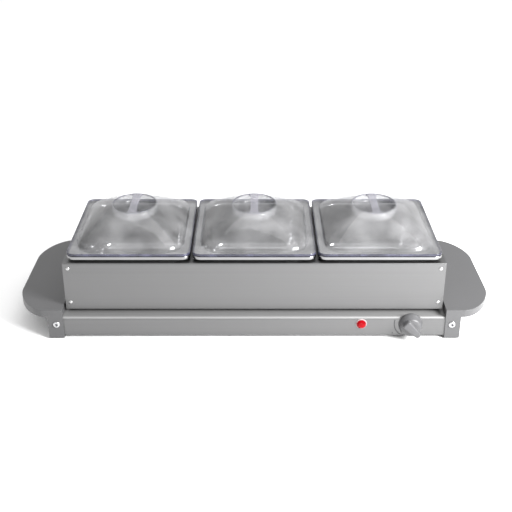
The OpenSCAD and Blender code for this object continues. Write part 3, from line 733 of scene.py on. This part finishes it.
def lathe_y(centre, profile, steps, close=True):
    """A shell turned round an axis along Y. The profile is (radius, how far it stands out in front)."""
    rings = []
    for radius, out in profile:
        turns = [2 * math.pi * i / steps for i in range(steps)]
        rings.append([Vector((centre.x + radius * math.cos(turn), centre.y - out,
                              centre.z + radius * math.sin(turn))) for turn in turns])
    return loft(rings, close_end=close)


def join_shells(shells):
    points = []
    faces = []
    for more, quads in shells:
        offset = len(points)
        points += more
        faces += [tuple(i + offset for i in f) for f in quads]
    return points, faces


def facing_rear(shell):
    """The shell's mirror image on the rear of the object."""
    points, faces = shell
    return [Vector((p.x, -p.y, p.z)) for p in points], [tuple(reversed(f)) for f in faces]


def turned_heads(name, profile, places, steps, close, body, replaced, slot):
    """The same turned shape at each place on the front and behind it on the rear, as one piece."""
    shells = []
    for place in places:
        shell = lathe_y(place, profile, steps, close)
        shells += [shell, facing_rear(shell)]
    return make_piece(name, *join_shells(shells), body, replaced, slot, 60)


SCREW_R = 4.8 * MM
# outlines, as (share of the head's radius, height in millimetres)
SCREW_HEAD = ((1, -0.2), (1, 0.2), (0.97, 0.7), (0.9, 1.2), (0.78, 1.65), (0.64, 1.88), (0.52, 1.9),
              (0.45, 1.75))
SCREW_SOCKET = ((0.45, 1.75), (0.42, 0.6), (0.36, 0.3), (0.02, 0.2))


def make_screws():
    """Round-headed screws in the legs, each with a socket in its middle that is darkened with painted
    shade.
    """
    low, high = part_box("end_cap_screws")
    leg_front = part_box("left_end_cap")[0].y
    places = [Vector((x, leg_front, (low.z + high.z) / 2)) for x in (low.x + SCREW_R, high.x - SCREW_R)]
    head = [(share * SCREW_R, out * MM) for share, out in SCREW_HEAD]
    socket = [(share * SCREW_R, out * MM) for share, out in SCREW_SOCKET]
    turned_heads("screw_heads", head, places, 32, False, "base", ["end_cap_screws"], "screw_chrome")
    sockets = turned_heads("screw_sockets", socket, places, 32, True, "base", [], "cover_steel")
    # the sockets take the darker steel, as painted shade
    dress(sockets, socket_painted_shade)


RIVET_R = 2.7 * MM
RIVET_H = 1.4 * MM
RIVET_TAIL_R = 2.6 * MM          # it sets the CAD node's box


def make_rivets():
    """Domed heads at the frame's corners."""
    low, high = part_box("frame_rivets")
    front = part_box("frame_front")[0].y
    turns = [math.radians(angle) for angle in (0, 15, 30, 45, 60, 75, 88)]
    profile = [(RIVET_R * math.cos(t), RIVET_H * math.sin(t) - 0.05 * MM) for t in turns]
    places = [Vector((x, front, z))
              for x in (low.x + RIVET_TAIL_R, high.x - RIVET_TAIL_R)
              for z in (low.z + RIVET_TAIL_R, high.z - RIVET_TAIL_R)]
    rivets = turned_heads("rivet_heads", profile, places, 24, True,
                          "pan_frame", ["frame_rivets"], "screw_chrome")
    dress(rivets, rivet_steel)


# ---------- knob ----------

KNOB_TILT = math.radians(-45)    # of the pointer, from pointing right
POINTER_H = 6 * MM               # of the pointer above the knob's face
POINTER_LENGTH = 14.8 * MM       # half its length and half its width
POINTER_WIDTH = 6.0 * MM
POINTER_CORNER = 4.6 * MM
POINTER_SHIFT = 1.5 * MM         # of its middle towards the tip
POINTER_TAPER = 0.22             # share of its width lost between the middle and the tip


def knob_body(centre, radius, deep):
    """The round body: a hollow underside, a straight skirt, then a cone up to a softened face."""
    face = radius - 3.8 * MM
    out = deep - POINTER_H
    underside = [(0.84 * radius, 1.5 * MM), (0.88 * radius, 0)]
    skirt = [(radius - 0.4 * MM, 0), (radius, 0.5 * MM), (radius, 3.4 * MM), (radius - 0.3 * MM, 4.3 * MM)]
    cone = [(face + 0.5 * MM, out - 1.6 * MM), (face - 0.3 * MM, out - 0.5 * MM), (face - 1.3 * MM, out)]
    middle = [(0.4 * radius, out + 0.3 * MM), (0.02 * radius, out + 0.35 * MM)]
    return lathe_y(centre, underside + skirt + cone + middle, 64)


def knob_pointer(centre, deep):
    """The raised grip: a broad bar from upper left to lower right that narrows to a round tip."""
    along = Vector((math.cos(KNOB_TILT), 0, math.sin(KNOB_TILT)))
    across = Vector((-math.sin(KNOB_TILT), 0, math.cos(KNOB_TILT)))
    levels = ((9.5, 0), (4.6, 0.25), (2.2, 0.5), (0.9, 0.9), (0.25, 1.6), (0, 2.6))
    rings = []
    for back, inward in levels:
        inset = inward * MM
        corner = max(POINTER_CORNER - inset, 1.4 * MM)
        ring = rounded_ring(POINTER_LENGTH - inset, POINTER_WIDTH - inset, corner, 8, 4)
        level = []
        for p in ring:
            taper = 1 - POINTER_TAPER * p.x / POINTER_LENGTH
            level.append(centre + along * (p.x + POINTER_SHIFT) + across * p.y * taper
                         - Vector((0, deep - back * MM, 0)))
        rings.append(level)
    return loft(rings, close_end=True)


def make_knob():
    low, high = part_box("knob")
    axis = Vector(next(j for j in frame["joints"] if j["name"] == "knob_turn")["pos_m"])
    centre = Vector((axis.x, high.y, axis.z))
    deep = high.y - low.y
    radius = high.z - axis.z
    points, faces = join_shells([knob_body(centre, radius, deep), knob_pointer(centre, deep)])
    knob = make_piece("knob_shell", points, faces, "control_knob", ["knob"], "knob_plastic", 50)
    knob.visible_glossy = False  # keeps its blurred mirror image off the frame above it


# ---------- setting ----------

def area_light(name, location, target, size, power):
    data = bpy.data.lights.new(name, "AREA")
    data.shape = "RECTANGLE"
    data.size, data.size_y = size
    data.energy = power
    light = bpy.data.objects.new(name, data)
    bpy.context.scene.collection.objects.link(light)
    light.location = location
    light.rotation_euler = (Vector(target) - Vector(location)).to_track_quat("-Z", "Y").to_euler()


FLOOR_SIZE = 14
FLOOR_DROP = 0.2 * MM            # keeps the floor off the undersides of the feet
WORLD_LIGHT = 0.95


def make_setting():
    """White floor, pale surroundings, and a soft key light from the right."""
    scene = bpy.context.scene
    scene.view_settings.view_transform = "Standard"
    world = bpy.data.worlds.new("world")
    scene.world = world
    world.use_nodes = True
    background = world.node_tree.nodes["Background"]
    background.inputs["Color"].default_value = (1, 1, 1, 1)
    background.inputs["Strength"].default_value = WORLD_LIGHT
    bpy.ops.mesh.primitive_plane_add(size=FLOOR_SIZE, location=(0, 2, -FLOOR_DROP))
    floor = bpy.context.object
    floor.name = "floor"
    dress(floor, floor_white())
    area_light("key", (1.1, -0.85, 0.75), target=(0.4, -0.35, 0), size=(0.6, 0.6), power=67)
    area_light("top", (0.3, 0.5, 2.0), target=(0, 0, 0.1), size=(1.6, 1.0), power=10)


make_camera()
dress_cad_nodes()
make_pans()
make_lids()
soften_hard_parts()
make_screws()
make_rivets()
make_knob()
make_setting()
